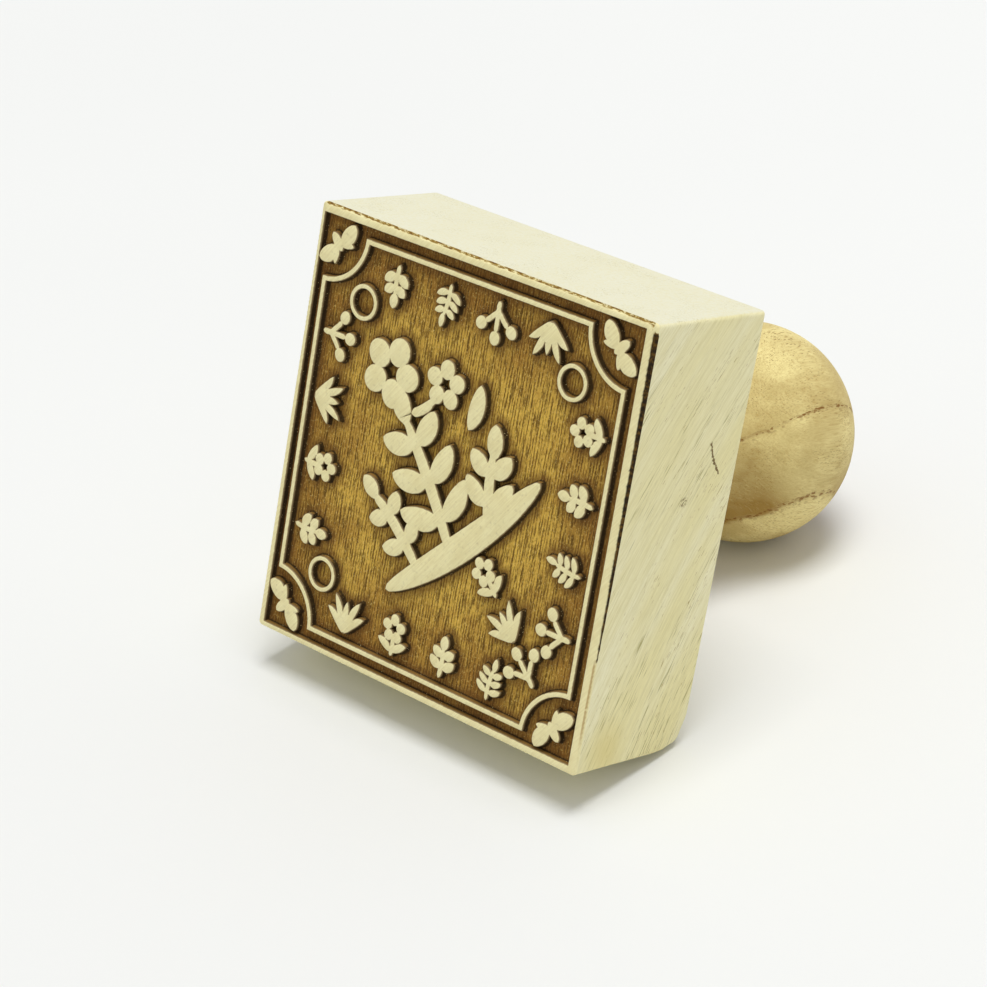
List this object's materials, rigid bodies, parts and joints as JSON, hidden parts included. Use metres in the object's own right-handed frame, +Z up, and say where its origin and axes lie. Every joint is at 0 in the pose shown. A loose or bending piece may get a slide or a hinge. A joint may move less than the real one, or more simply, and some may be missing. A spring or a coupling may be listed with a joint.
{
  "type": "wooden hand stamp",
  "caption": "Square wooden hand stamp with a raised plant pattern engraved in its face, a turned ball-top handle, lying on its side as on a table.",
  "frame": {"origin": "middle of the bounding box's underside: on the table under the stamp, which rests on the lower back edge of its block and on the ball of its handle", "axes": "+Z up from the table; +Y horizontally from the engraved face towards the handle's end; +X to the right across the engraved face as one looks at it"},
  "size_m": [0.058, 0.0858, 0.0636],
  "materials": {
    "block_wood": "bare pale close-grained wood, sanded; ground of the engraving scorched brown to black",
    "handle_wood": "bare tan open-pored wood, turned and sanded",
    "screw_steel": "plain steel"
  },
  "bodies": {
    "root": {"stamp_block": "block_wood", "handle": "handle_wood", "dowel_screw": "screw_steel"}
  },
  "joints": []
}
